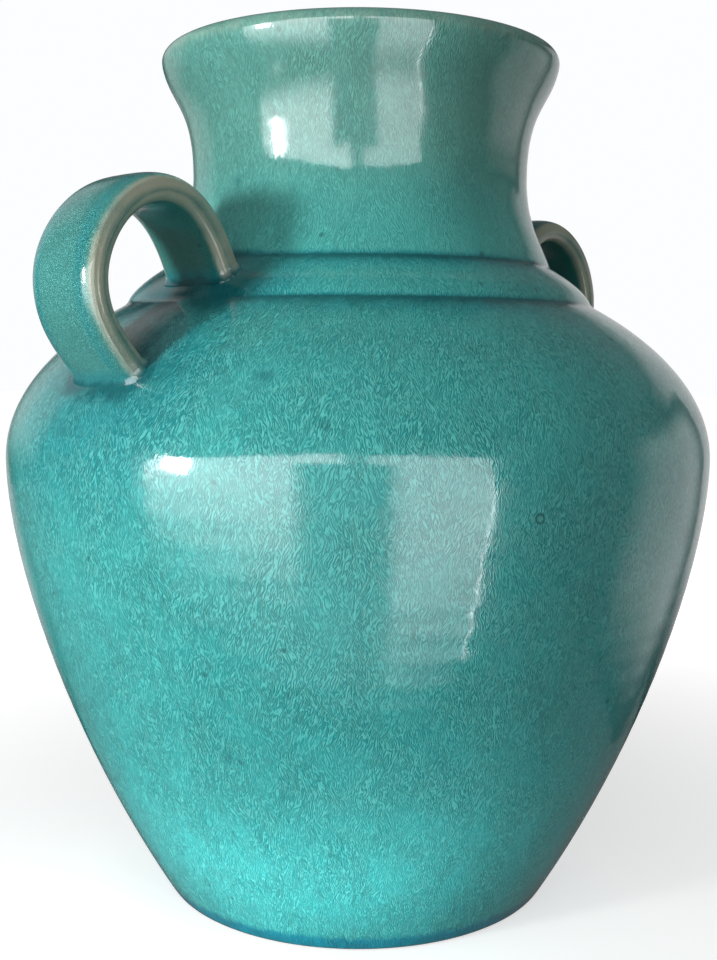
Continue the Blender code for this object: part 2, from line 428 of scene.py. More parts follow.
def strap_faces(rows):
    """Faces of rows sections, closed at both ends by a fan round a point of its own."""
    faces = []
    for row in range(rows - 1):
        here, there = row * STRAP_POINTS, (row + 1) * STRAP_POINTS
        for step in range(STRAP_POINTS):
            beside = (step + 1) % STRAP_POINTS
            faces.append((here + step, there + step, there + beside, here + beside))
    start, end = rows * STRAP_POINTS, rows * STRAP_POINTS + 1
    final = (rows - 1) * STRAP_POINTS
    for step in range(STRAP_POINTS):
        beside = (step + 1) % STRAP_POINTS
        faces.append((start, step, beside))
        faces.append((end, final + beside, final + step))
    return faces


def make_strap(name, turn, shift, seed):
    across, through = strap_section()
    grid, skin, run = swept_strap(across, through, seed)
    turned_by = Matrix.Rotation(turn, 3, 'Z')
    world_grid = grid.reshape(-1, 3) @ np.array(turned_by).T + np.array(shift)
    grid = world_grid.reshape(grid.shape)
    gap = vessel_distance(grid)[0]
    grid, deep = raised(filleted(grid, gap))

    # each end keeps one section that lies in the wall
    rows = len(grid)
    middle = rows // 2
    hidden = deep.all(axis=1)
    first = max((row for row in range(middle) if hidden[row]), default=0)
    last = min((row for row in range(middle, rows) if hidden[row]), default=rows - 1)
    kept = slice(first, last + 1)
    grid, gap, skin, run = grid[kept], np.maximum(gap[kept], 0), skin[kept], run[kept]
    rows = len(grid)
    caps = raised(np.array([grid[0].mean(axis=0), grid[-1].mean(axis=0)]))[0]

    # thin glaze on the edges, but less so in their groove, and thick glaze by the wall and beside the edges
    edge = smooth_step(np.abs(across) + 0.05 * (through < 0), 0.74, 0.99)
    edge = edge * (1 - 0.40 * bump_at(through, -0.15, 0.16))
    edge = edge * (0.86 + 0.14 * np.sin(run[:, None] / 0.0065 + seed))
    thin = edge * (1 - 0.8 * np.exp(-gap / 0.0020))
    beside_edge = 0.34 * bump_at(np.abs(across), 0.66, 0.15) * (through > 0)
    pool_and_painted_shade = np.maximum(np.exp(-gap / 0.0028), beside_edge)
    marks = {
        "skin": np.vstack((skin.reshape(-1, 3), skin[0, 0], skin[-1, -1])),
        "pool_and_painted_shade": np.append(pool_and_painted_shade, (1.0, 1.0)),
        "thin": np.append(thin, (0.0, 0.0)),
        "bare": np.zeros(rows * STRAP_POINTS + 2),
        # a strap's underside, painted darker as shade
        "inner": np.append(np.tile(0.5 - 0.5 * through, rows), (0.0, 0.0)),
    }
    piece = add_piece(name, np.vstack((grid.reshape(-1, 3), caps)), strap_faces(rows), marks)
    contact = grid[np.abs(vessel_distance(grid)[0]) < CONTACT_WIDTH]
    return piece, contact


def make_handles():
    left, left_contact = make_strap("glazed_handle_left", pi, (0, 0, 0), 0.4)
    right, right_contact = make_strap("glazed_handle_right", RIGHT_HANDLE_SKEW,
                                      (-RIGHT_HANDLE_INSET, 0, RIGHT_HANDLE_LIFT), 1.7)
    return left, right, np.vstack((left_contact, right_contact))


# ---------------------------------------------------------------- body, collar and neck

def handle_pool_and_painted_shade(points, contact):
    """1 where a handle's end meets the wall, fading away from there, further on the downhill side. It is
    thick glaze, and by a handle's root it is also painted shade that reaches further.
    """
    result = np.zeros(len(points))
    radius = np.hypot(points[:, 0], points[:, 1])
    close = np.flatnonzero((np.abs(points[:, 1]) < 0.05) & (points[:, 2] > 0.15) & (points[:, 2] < 0.28)
                           & (radius > 0.062))
    for block in np.array_split(close, max(1, len(close) // 2000)):
        if len(block) == 0:
            continue
        here = points[block]
        apart = here[:, None, :] - contact[None, ::2, :]
        apart[:, :, 2] *= np.where(apart[:, :, 2] < 0, 0.62, 1.15)
        nearest = np.sqrt((apart ** 2).sum(axis=2)).min(axis=1)
        # painted shade: by a handle's root the dark mark reaches further, and a wide faint mark spreads round
        # it
        root_painted_shade_share = smooth_step(here[:, 2], 0.206, 0.216)
        on_neck = smooth_step(here[:, 2], 0.2385, 0.2440)
        reach = (0.0070 + 0.0120 * root_painted_shade_share) * (1 - 0.80 * on_neck)
        strong = np.exp(-(nearest / reach) ** (1.25 + 0.5 * root_painted_shade_share))
        wide = np.where(root_painted_shade_share > 0.5, 0.36 * np.exp(-(nearest / 0.021) ** 2),
                        0.50 * np.exp(-(nearest / 0.027) ** 2))
        result[block] = np.maximum(strong, wide * (1 - on_neck))
    return result


def crease_pool(run):
    """Glaze gathered in the two creases of the collar."""
    result = np.zeros(len(run))
    for crease, down, upwards in ((RUN[LOWER_CREASE], 0.0075, 0.0011), (RUN[UPPER_CREASE], 0.0046, 0.0013)):
        off = run - crease
        result = np.maximum(result, np.where(off < 0, np.exp(off / down), np.exp(-off / upwards)))
    return result


def stretch(count, start, end, values=1.0):
    """A value for each of count profile points: zero, but values from start up to end."""
    result = np.zeros(count)
    result[start:end] = values
    return result


def pool_and_painted_shade_marks(line, outside, contact):
    """Thick glaze where line has it on the profile, and round the handles' ends on the outside, where by a
    handle's root it is also painted shade.
    """
    def pool_and_painted_shade(points, row):
        return np.maximum(line[row], handle_pool_and_painted_shade(points, contact) * outside[row])
    return pool_and_painted_shade


def body_inside():
    """The body's floor, heel, inner wall and upper opening, from the axis outwards."""
    seat = SHOULDER_HEIGHT - NODE_GAP
    floor_top = FOOT_RECESS + FLOOR
    wall = belly_outline()[::8]
    wall = wall + normals(wall) * WALL
    wall = wall[(wall[:, 1] > floor_top + 0.012) & (wall[:, 1] < seat - 0.009)]
    floor_radii = np.linspace(0.0, FOOT_RADIUS * 0.56, FLOOR_ROWS)
    floor = np.column_stack((floor_radii, np.full(FLOOR_ROWS, floor_top)))
    heel = flat(bend(point(FOOT_RADIUS * 0.62, floor_top), 0.0, 0.4,
                     point(*wall[0]), radians(60), 0.4, 18))
    opening = np.array(((BODY_OPENING_RADIUS, seat - WALL * 0.6), (BODY_OPENING_RADIUS, seat)))
    return np.vstack((floor, heel, wall, opening))


def body_underside(start):
    """From the wall's lower end to the axis: the foot's round edge, then the foot ring and the recess."""
    edge = flat(bend(point(*start), radians(-125), 0.45,
                     point(FOOT_RADIUS - 0.0022, 0.0), radians(180), 0.5, 10))
    ring = np.array(((FOOT_RADIUS - 0.0060, 0.0), (RING_INNER + 0.0010, 0.0), (RING_INNER + 0.0002, 0.0003),
                     (RING_INNER - 0.0012, 0.0016), (RING_INNER - 0.0022, FOOT_RECESS - 0.0004),
                     (RING_INNER - 0.0036, FOOT_RECESS)))
    recess = np.column_stack((np.linspace(RING_INNER - 0.006, 0.0, 12), np.full(12, FOOT_RECESS)))
    return edge[1:], np.vstack((ring, recess))


def make_body(contact):
    outer, run = thinned(0, LOWER_CREASE, coarse=0.0019, fine=0.0004)
    inside = body_inside()
    edge, under = body_underside(outer[0])
    profile = np.vstack((inside, outer[::-1], edge, under))
    along = np.concatenate((-lengths(inside)[::-1] - 0.05, run[::-1], -lengths(np.vstack((edge, under)))))
    count = len(profile)
    at_outer, at_edge = len(inside), len(inside) + len(outer)
    at_ring = at_edge + len(edge)

    radius, height = profile[at_edge:, 0], profile[at_edge:, 1]
    bare = (smooth_step(radius, RING_INNER - 0.0016, RING_INNER - 0.0004)
            * (1 - smooth_step(height, 0.0002, 0.0007)))
    creases = stretch(count, at_outer, at_edge, crease_pool(run[::-1]))
    recess = stretch(count, at_ring, count, bump_at(profile[at_ring:, 0], RING_INNER - 0.0040, 0.0030))
    outside = stretch(count, at_outer, at_edge)
    level = np.zeros(count, bool)
    level[:FLOOR_ROWS + 6] = True
    level[at_edge + 4:] = True
    marks = {"pool_and_painted_shade": pool_and_painted_shade_marks(np.maximum(creases, recess), outside, contact),
             "bare": stretch(count, at_edge, count, bare),
             "inner": stretch(count, 0, at_outer)}
    return turned("glazed_body", profile, along, BODY_SKIN_RADIUS, marks, closed=False, level_rows=level)


def make_collar(contact):
    outer, run = thinned(LOWER_CREASE, UPPER_CREASE, coarse=0.0005, fine=0.0003)
    bottom, top = outer[0, 1], outer[-1, 1]
    bore = flat([point(BODY_OPENING_RADIUS, bottom), point(BODY_OPENING_RADIUS - 0.0012, bottom + 0.0024),
                 point(NECK_BORE_RADIUS + 0.0016, top - 0.0024), point(NECK_BORE_RADIUS, top)])
    bore = evenly(bore, 0.0014)
    profile = np.vstack((bore, outer[::-1]))
    along = np.concatenate((-lengths(bore) - 0.3, run[::-1]))
    count, at_outer = len(profile), len(bore)
    middle = (RUN[LOWER_CREASE] + RUN[UPPER_CREASE]) / 2
    creases = stretch(count, at_outer, count, crease_pool(run[::-1]))
    ridge = 0.30 * bump_at(run[::-1], middle - 0.001, 0.0045)
    marks = {"pool_and_painted_shade": pool_and_painted_shade_marks(creases, stretch(count, at_outer, count), contact),
             "thin": stretch(count, at_outer, count, ridge),
             "inner": stretch(count, 0, at_outer)}
    return turned("glazed_collar_ring", profile, along, COLLAR_SKIN_RADIUS, marks, closed=True)


def make_neck(contact):
    outer, run = thinned(UPPER_CREASE, len(OUTLINE) - 1, coarse=0.0013, fine=0.0004)
    inner = neck_outline()[::8]
    inner = (inner + normals(inner) * WALL)[4:-2]
    inner = np.vstack(((NECK_BORE_RADIUS, outer[0, 1]), inner))
    lip = lip_arc()
    profile = np.vstack((inner, lip[::-1], outer[::-1][1:]))
    lip_run = RUN[-1] + lengths(lip)
    along = np.concatenate((RUN[-1] + 0.02 + lengths(inner)[::-1], lip_run[::-1], run[::-1][1:]))
    count = len(profile)
    at_lip, at_outer = len(inner), len(inner) + len(lip)
    below = HEIGHT - profile[:, 1]
    inwards = np.linspace(1, 0, len(lip))
    thin = np.concatenate((0.5 * np.exp(-(below[:at_lip] / 0.006) ** 2), 0.42 - 0.14 * inwards,
                           0.42 * np.exp(-(below[at_outer:] / 0.0085) ** 2)))
    creases = stretch(count, at_outer, count, crease_pool(run[::-1][1:]))
    marks = {"pool_and_painted_shade": pool_and_painted_shade_marks(creases, stretch(count, at_outer, count), contact),
             "thin": thin,
             "inner": np.concatenate((np.ones(at_lip), inwards, np.zeros(count - at_outer)))}
    return turned("glazed_neck", profile, along, NECK_SKIN_RADIUS, marks, closed=True)


# ---------------------------------------------------------------- materials

class Nodes:
    """Short names for the shader nodes used here. Each call gives the output socket."""

    def __init__(self, name):
        self.material = bpy.data.materials.new(name)
        self.material.use_nodes = True
        self.tree = self.material.node_tree
        self.shader = self.tree.nodes["Principled BSDF"]

    def add(self, kind, inputs=(), output=0, **settings):
        node = self.tree.nodes.new(kind)
        for key, value in settings.items():
            setattr(node, key, value)
        for key, value in dict(inputs).items():
            if isinstance(value, bpy.types.NodeSocket):
                self.tree.links.new(value, node.inputs[key])
            else:
                node.inputs[key].default_value = value
        return node.outputs[output]

    def math(self, operation, first, second=0.0, third=0.0):
        return self.add("ShaderNodeMath", {0: first, 1: second, 2: third}, operation=operation)

    def vector(self, operation, first, second=(0, 0, 0)):
        return self.add("ShaderNodeVectorMath", {0: first, 1: second}, operation=operation)

    def scaled(self, vector, factor):
        return self.add("ShaderNodeVectorMath", {0: vector, "Scale": factor}, operation='SCALE')

    def noise(self, place, scale, detail=2.0, roughness=0.5, output="Fac"):
        return self.add("ShaderNodeTexNoise", {"Vector": place, "Scale": scale, "Detail": detail,
                                               "Roughness": roughness}, output)

    def range(self, value, low, high, to_low=0.0, to_high=1.0):
        return self.add("ShaderNodeMapRange", {"Value": value, "From Min": low, "From Max": high,
                                               "To Min": to_low, "To Max": to_high},
                        interpolation_type='SMOOTHSTEP')

    def mix(self, share, first, second, blend='MIX'):
        node = self.tree.nodes.new("ShaderNodeMix")
        node.data_type, node.blend_type = 'RGBA', blend
        for socket, value in (("Factor_Float", share), ("A_Color", first), ("B_Color", second)):
            target = next(item for item in node.inputs if item.identifier == socket)
            if isinstance(value, bpy.types.NodeSocket):
                self.tree.links.new(value, target)
            else:
                target.default_value = value if socket == "Factor_Float" else (*value, 1.0)
        return next(item for item in node.outputs if item.identifier == "Result_Color")

    def less(self, value, share):
        """The value, with a share of it taken away."""
        return self.math('MULTIPLY', value, self.math('SUBTRACT', 1.0, share))

    def distance(self, place, other):
        return self.add("ShaderNodeVectorMath", {0: place, 1: other}, "Value", operation='DISTANCE')

    def mark(self, name):
        return self.add("ShaderNodeAttribute", output="Fac", attribute_name=name)


# Glaze colours (linear).
FOOT_TURQUOISE = (0.030, 0.435, 0.435)
SHOULDER_TEAL = (0.036, 0.375, 0.360)
NECK_FOOT_TEAL = (0.062, 0.410, 0.375)
NECK_SEA_GREEN = (0.108, 0.310, 0.255)
STRAP_TEAL = (0.042, 0.235, 0.215)
# painted shade: a strap's underside is painted darker
STRAP_UNDERSIDE_PAINTED_SHADE = (0.038, 0.200, 0.175)
# thick glaze's colours, which also paint the shade by the handles' roots
POOL_AND_PAINTED_SHADE_BLUE = (0.003, 0.088, 0.102)
BLUSH_AND_PAINTED_SHADE_BLUE = (0.006, 0.250, 0.278)
FOOT_BLUE = (0.003, 0.240, 0.330)
THIN_BEIGE = (0.500, 0.490, 0.375)
# painted shade: the inside of the vessel is painted darker
INNER_PAINTED_SHADE_TEAL = (0.060, 0.270, 0.245)
CLAY = (0.520, 0.400, 0.270)

GLAZE_IOR = 1.52
LINES_PER_FOLD = 5.0         # hairlines while the crackle's noise goes from 0 to 1


def leaning(nodes, skin, along, tilt, skin_radius, stretched):
    """The glaze's coordinates sheared so that upright streaks lean, then drawn out along the streaks."""
    twist = nodes.math('MULTIPLY', along, tan(radians(tilt)) / skin_radius)
    leant = nodes.add("ShaderNodeVectorRotate", {"Vector": skin, "Angle": twist}, rotation_type='Z_AXIS')
    return nodes.vector('MULTIPLY', leant, (1.0, 1.0, stretched))


def crackle(nodes, skin, along, skin_radius):
    """The fine wrinkled hairlines of a crazed glaze: each is a dark furrow, partly the crack's own dark line
    and partly painted shade, with a painted highlight on the pale ridge beside it.

    Two sets of lines lean opposite ways and take over from each other from patch to patch. A few long upright
    cracks cross them. Returns how much furrow, ridge and crack there is.
    """
    broad = nodes.noise(skin, 90, 1.5)
    wander = nodes.vector('SUBTRACT', nodes.noise(skin, 420, 1, 0.5, "Color"), (0.5, 0.5, 0.5))
    place = nodes.vector('ADD', skin, nodes.scaled(wander, 0.0008))
    furrows, ridges = [], []
    for tilt, scale, low, high in ((-17.0, 920, 0.64, 0.46), (15.0, 1000, 0.38, 0.54)):
        field = nodes.noise(leaning(nodes, place, along, tilt, skin_radius, 0.21), scale, 0.5, 0.5)
        wave = nodes.math('SINE', nodes.math('MULTIPLY', field, 2 * pi * LINES_PER_FOLD))
        shown = nodes.range(broad, low, high, 0.12, 1.0)
        furrows.append(nodes.math('MULTIPLY', nodes.range(wave, -0.20, -0.95), shown))
        ridges.append(nodes.math('MULTIPLY', nodes.range(wave, 0.20, 0.95), shown))
    furrow = nodes.math('MAXIMUM', *furrows)
    ridge = nodes.math('MAXIMUM', *ridges)
    long_place = nodes.vector('ADD', skin, nodes.scaled(wander, 0.0012))
    long_field = nodes.noise(leaning(nodes, long_place, along, 4.0, skin_radius, 0.07), 95, 1.0, 0.4)
    off = nodes.math('ABSOLUTE', nodes.math('SUBTRACT', long_field, 0.5))
    crack = nodes.math('MULTIPLY', nodes.range(off, 0.0, 0.008, 1.0, 0.0),
                       nodes.range(nodes.noise(skin, 30, 2), 0.50, 0.60))
    return furrow, ridge, crack


def mottled(nodes, color, place, skin):
    """Clouds, patches and grain in a glaze's colour."""
    cloud = nodes.noise(place, 26, 3, 0.55)
    color = nodes.mix(nodes.range(cloud, 0.25, 0.75), nodes.mix(0.09, color, (0, 0.05, 0.06)),
                      nodes.mix(0.07, color, (0.22, 0.70, 0.66)))
    patch = nodes.noise(skin, 95, 3, 0.6)
    color = nodes.mix(nodes.range(patch, 0.40, 0.72, 0.0, 0.12), color, (0.02, 0.17, 0.18))
    grain = nodes.noise(skin, 900, 2, 0.6)
    return nodes.mix(nodes.range(grain, 0.30, 0.70, 0.0, 0.10), color, (0.20, 0.62, 0.58))


def faults(nodes, color, place, skin, ragged):
    """Pinholes and specks, soft dark spots, and a burst bubble with its ring."""
    specks = nodes.add("ShaderNodeTexVoronoi", {"Vector": skin, "Scale": 55, "Randomness": 1.0}, "Distance")
    color = nodes.mix(nodes.range(specks, 0.035, 0.075, 0.55, 0.0), color, (0.012, 0.090, 0.095))
    for spot, size in DARK_SPOTS:
        off = nodes.math('MULTIPLY_ADD', ragged, 0.0030, nodes.distance(place, spot))
        color = nodes.mix(nodes.range(off, size, 0.0002, 0.0, 0.50), color, (0.010, 0.140, 0.150))
    bubble = nodes.distance(place, BUBBLE)
    ring = nodes.range(nodes.math('ABSOLUTE', nodes.math('SUBTRACT', bubble, 0.0014)), 0.0006, 0.0001)
    color = nodes.mix(nodes.math('MULTIPLY', ring, 0.75), color, (0.006, 0.090, 0.085))
    return nodes.mix(nodes.range(bubble, 0.0009, 0.0004, 0.0, 0.6), color, (0.15, 0.50, 0.47))


def foot_roll(nodes, color, place, height, ragged):
    """A ragged roll of thick glaze round the outside of the foot."""
    edge = nodes.math('MULTIPLY_ADD', ragged, 0.0045, height)
    from_axis = nodes.distance(nodes.vector('MULTIPLY', place, (1.0, 1.0, 0.0)), (0.0, 0.0, 0.0))
    shown = nodes.math('MULTIPLY', nodes.range(edge, 0.0078, 0.0042, 0.0, 0.95),
                       nodes.range(from_axis, 0.066, 0.070))
    return nodes.mix(shown, color, FOOT_BLUE)


def unglazed(nodes, color, place, ragged):
    """Bare clay under the foot. Returns the colour and how bare each place is."""
    mark = nodes.mark("bare")
    edge = nodes.math('ADD', mark, nodes.math('MULTIPLY', nodes.math('MULTIPLY', ragged, 0.5), mark))
    bare = nodes.range(edge, 0.35, 0.65)
    speck = nodes.range(nodes.noise(place, 1300, 2, 0.7), 0.35, 0.7, 0.0, 0.45)
    return nodes.mix(bare, color, nodes.mix(speck, CLAY, (0.24, 0.155, 0.090))), bare


def set_relief(nodes, place, skin, furrow, ridge, bare):
    """Hairlines, an uneven skin and the glaze's soft waves. The clear coat shows less of the hairlines."""
    waves = nodes.noise(skin, 70, 2, 0.5)
    peel = nodes.noise(skin, 400, 2, 0.55)
    calm = nodes.math('MULTIPLY_ADD', waves, 1.6, nodes.math('MULTIPLY', peel, 0.10))
    lines = nodes.math('SUBTRACT', nodes.math('MULTIPLY', ridge, 0.6), furrow)
    rough_clay = nodes.math('MULTIPLY', nodes.math('MULTIPLY', nodes.noise(place, 1500, 3, 0.7), bare), 1.5)
    under = nodes.math('ADD', nodes.math('ADD', lines, calm), rough_clay)
    over = nodes.math('MULTIPLY_ADD', lines, 0.05, calm)
    for relief, depth, socket in ((under, 0.00016, "Normal"), (over, 0.00010, "Coat Normal")):
        normal = nodes.add("ShaderNodeBump", {"Strength": 1.0, "Distance": depth, "Height": relief}, "Normal")
        nodes.tree.links.new(normal, nodes.shader.inputs[socket])


def glaze(name, low_color, high_color, low, high, skin_radius, strength=1.0, inner_painted_shade_color=INNER_PAINTED_SHADE_TEAL,
          inner_painted_shade_share=0.55, dull_edge=0.0):
    """A crazed, pooled, translucent-looking gloss glaze.

    Its colour runs from low_color at height low to high_color at height high, and towards a darker inner
    colour inside: painted shade within the vessel and on a strap's underside.
    strength is how strong the crazing is, and dull_edge is how far thin glaze loses its gloss.
    """
    nodes = Nodes(name)
    place = nodes.add("ShaderNodeTexCoord", output="Object")
    height = nodes.add("ShaderNodeSeparateXYZ", {0: place}, "Z")
    inner = nodes.mark("inner")
    skin = nodes.add("ShaderNodeAttribute", output="Vector", attribute_name="skin")
    along = nodes.add("ShaderNodeSeparateXYZ", {0: skin}, "Z")

    # colour drift and mottling, and painted shade inside the vessel and on a strap's underside
    drift = nodes.math('MULTIPLY', nodes.math('SUBTRACT', nodes.noise(place, 16, 2), 0.5), 0.05)
    color = nodes.mix(nodes.range(nodes.math('ADD', height, drift), low, high), low_color, high_color)
    color = mottled(nodes, color, place, skin)
    color = nodes.mix(nodes.math('MULTIPLY', inner, inner_painted_shade_share), color, inner_painted_shade_color)

    # thick glaze in the hollows, and painted shade by the handles' roots, with a ragged edge, and thin glaze
    # on the edges
    ragged = nodes.math('MULTIPLY', nodes.math('SUBTRACT', nodes.noise(skin, 210, 3, 0.6), 0.5), 0.9)
    pool_and_painted_shade_mark = nodes.mark("pool_and_painted_shade")
    pool_and_painted_shade = nodes.range(nodes.math('ADD', pool_and_painted_shade_mark, nodes.math('MULTIPLY', ragged, pool_and_painted_shade_mark)), 0.22, 0.92)
    color = nodes.mix(nodes.range(pool_and_painted_shade_mark, 0.04, 0.46, 0.0, 0.75), color, BLUSH_AND_PAINTED_SHADE_BLUE)
    color = nodes.mix(nodes.math('MULTIPLY', pool_and_painted_shade, 0.92), color, POOL_AND_PAINTED_SHADE_BLUE)
    thin_edge = nodes.math('ADD', nodes.mark("thin"), nodes.math('MULTIPLY', ragged, 0.35))
    thin = nodes.range(thin_edge, 0.18, 0.95)
    color = nodes.mix(nodes.math('MULTIPLY', thin, 0.85), color, THIN_BEIGE)

    # crazing: dark furrows, partly painted shade, between pale ridges with painted highlight, fainter inside,
    # in the pools and where the glaze is thin
    furrow, ridge, crack = crackle(nodes, skin, along, skin_radius)
    show = nodes.range(nodes.noise(skin, 60, 2), 0.30, 0.62, 0.60 * strength, strength)
    for mark, share in ((inner, 0.5), (pool_and_painted_shade, 0.85), (thin, 0.85)):
        show = nodes.less(show, nodes.math('MULTIPLY', mark, share))
    furrow = nodes.math('MULTIPLY', nodes.math('MAXIMUM', furrow, nodes.math('MULTIPLY', crack, 0.8)), show)
    ridge = nodes.math('MULTIPLY', ridge, show)
    color = nodes.mix(furrow, color, nodes.mix(1.0, color, (0.46, 0.66, 0.68), 'MULTIPLY'))
    color = nodes.mix(nodes.math('MULTIPLY', ridge, 0.42), color, (0.20, 0.68, 0.63))

    color = faults(nodes, color, place, skin, ragged)
    color = foot_roll(nodes, color, place, height, ragged)
    color, bare = unglazed(nodes, color, place, ragged)
    nodes.tree.links.new(color, nodes.shader.inputs["Base Color"])
    set_relief(nodes, place, skin, furrow, ridge, bare)
    rough = nodes.math('ADD', 0.34, nodes.math('MULTIPLY', bare, 0.50))
    nodes.tree.links.new(rough, nodes.shader.inputs["Roughness"])
    coat = nodes.less(nodes.math('MULTIPLY_ADD', thin, -dull_edge, 1.0), bare)
    nodes.tree.links.new(coat, nodes.shader.inputs["Coat Weight"])
    nodes.shader.inputs["Coat Roughness"].default_value = 0.045
    nodes.shader.inputs["Coat IOR"].default_value = GLAZE_IOR
    nodes.shader.inputs["Specular IOR Level"].default_value = 0.12
    nodes.shader.inputs["IOR"].default_value = GLAZE_IOR
    return nodes.material


# ---------------------------------------------------------------- the pieces

left_handle, right_handle, contact_line = make_handles()
body = make_body(contact_line)
collar = make_collar(contact_line)
neck = make_neck(contact_line)

strap_glaze = glaze("handle_glaze_look", STRAP_TEAL, STRAP_TEAL, 0.18, 0.26, STRAP_SKIN_RADIUS, strength=0.8,
                    inner_painted_shade_color=STRAP_UNDERSIDE_PAINTED_SHADE, inner_painted_shade_share=0.9, dull_edge=0.35)
body.data.materials.append(glaze("body_glaze_look", FOOT_TURQUOISE, SHOULDER_TEAL, 0.01, 0.23,
                                 BODY_SKIN_RADIUS))
collar.data.materials.append(glaze("collar_glaze_look", SHOULDER_TEAL, SHOULDER_TEAL, 0.2, 0.3,
                                   COLLAR_SKIN_RADIUS, strength=0.8))
neck.data.materials.append(glaze("neck_glaze_look", NECK_FOOT_TEAL, NECK_SEA_GREEN, 0.246, 0.290,
                                 NECK_SKIN_RADIUS, strength=0.6))
left_handle.data.materials.append(strap_glaze)
right_handle.data.materials.append(strap_glaze)

for piece, node, slot in ((body, "body", "body_glaze"), (collar, "collar_ring", "collar_glaze"),
                          (neck, "neck", "neck_glaze"), (left_handle, "handle_left", "handle_glaze"),
                          (right_handle, "handle_right", "handle_glaze")):
    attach(piece, "root")
    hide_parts(node)


# ---------------------------------------------------------------- camera

CAMERA_TURN = radians(47.9)      # from the handles' axis towards the front
CAMERA_DISTANCE = 0.4829
CAMERA_HEIGHT = 0.2062
CAMERA_PITCH = radians(5.716)
CAMERA_ROLL = 0.0056
CAMERA_LENS = 45.71

ahead = Vector((sin(CAMERA_TURN), cos(CAMERA_TURN), 0.0))
right = Vector((cos(CAMERA_TURN), -sin(CAMERA_TURN), 0.0))
up = Vector((0.0, 0.0, 1.0))
look = ahead * cos(CAMERA_PITCH) - up * sin(CAMERA_PITCH)
above = right.cross(look)
side_axis = right * cos(CAMERA_ROLL) + above * sin(CAMERA_ROLL)
above_axis = above * cos(CAMERA_ROLL) - right * sin(CAMERA_ROLL)

camera_data = bpy.data.cameras.new("camera")
camera_data.lens = CAMERA_LENS
camera_data.sensor_width = 36.0
camera_data.clip_start = 0.01
camera = linked("camera", camera_data)
camera.matrix_world = Matrix.Translation(-ahead * CAMERA_DISTANCE + up * CAMERA_HEIGHT) @ Matrix(
    (side_axis, above_axis, -look)).transposed().to_4x4()
bpy.context.scene.camera = camera


# ---------------------------------------------------------------- floor, light and what the glaze mirrors

VASE_MIDDLE = Vector((0.0, 0.0, 0.16))
FLOOR_HALF = 6.0
WHITE = (1.0, 1.0, 1.0)
CORNERS = ((-1, -1), (1, -1), (1, 1), (-1, 1))


def facing_matrix(place, target):
    return Matrix.Translation(place) @ (target - place).to_track_quat('-Z', 'Y').to_matrix().to_4x4()


def toward(azimuth, elevation):
    """A direction from the vase. Azimuth 0 is back to the camera, and grows to the camera's right."""
    azimuth, elevation = radians(azimuth), radians(elevation)
    return (right * sin(azimuth) - ahead * cos(azimuth)) * cos(elevation) + up * sin(elevation)


def lamp(name, azimuth, elevation, distance, width, height, power, color=WHITE, mirrored=False,
         target=VASE_MIDDLE):
    """An area light that shines on the target. Only a mirrored one shows in the glaze."""
    data = bpy.data.lights.new(name, 'AREA')
    data.shape, data.size, data.size_y = 'RECTANGLE', width, height
    data.energy, data.color = power, color
    item = linked(name, data)
    item.matrix_world = facing_matrix(target + toward(azimuth, elevation) * distance, target)
    item.visible_camera = False
    item.visible_glossy = mirrored


def card(name, corners, strength, color, fade):
    """A bright card that only mirror-like reflections see. fade gives its strength from place to place."""
    mesh = bpy.data.meshes.new(name)
    mesh.from_pydata([tuple(corner) for corner in corners], [], [(0, 1, 2, 3)])
    layer = mesh.uv_layers.new(name="UVMap")
    for loop, uv in enumerate(((0, 0), (1, 0), (1, 1), (0, 1))):
        layer.data[loop].uv = uv
    item = linked(name, mesh)
    nodes = Nodes(name + "_light")
    emission = nodes.tree.nodes.new("ShaderNodeEmission")
    emission.inputs["Color"].default_value = (*color, 1.0)
    parts = nodes.add("ShaderNodeSeparateXYZ", {0: nodes.add("ShaderNodeUVMap", output="UV", uv_map="UVMap")})
    level = nodes.math('MULTIPLY', fade(nodes, *parts.node.outputs[:2]), strength)
    nodes.tree.links.new(level, emission.inputs["Strength"])
    output = next(node for node in nodes.tree.nodes if node.type == 'OUTPUT_MATERIAL')
    nodes.tree.links.new(emission.outputs[0], output.inputs["Surface"])
    nodes.material.cycles.emission_sampling = 'NONE'
    mesh.materials.append(nodes.material)
    item.visible_camera = item.visible_diffuse = item.visible_shadow = False


def screen(distance, left, bottom, right_edge, top):
    """Corners of an upright card behind the camera, by slopes from the vase's middle."""
    return [VASE_MIDDLE - ahead * distance + right * across * distance + up * rise * distance
            for across, rise in ((left, bottom), (right_edge, bottom), (right_edge, top), (left, top))]


def panel(azimuth, elevation, distance, width, height):
    """Corners of a card that faces the vase."""
    turn = facing_matrix(VASE_MIDDLE + toward(azimuth, elevation) * distance, VASE_MIDDLE)
    return [turn @ Vector((x * width / 2, y * height / 2, 0)) for x, y in CORNERS]


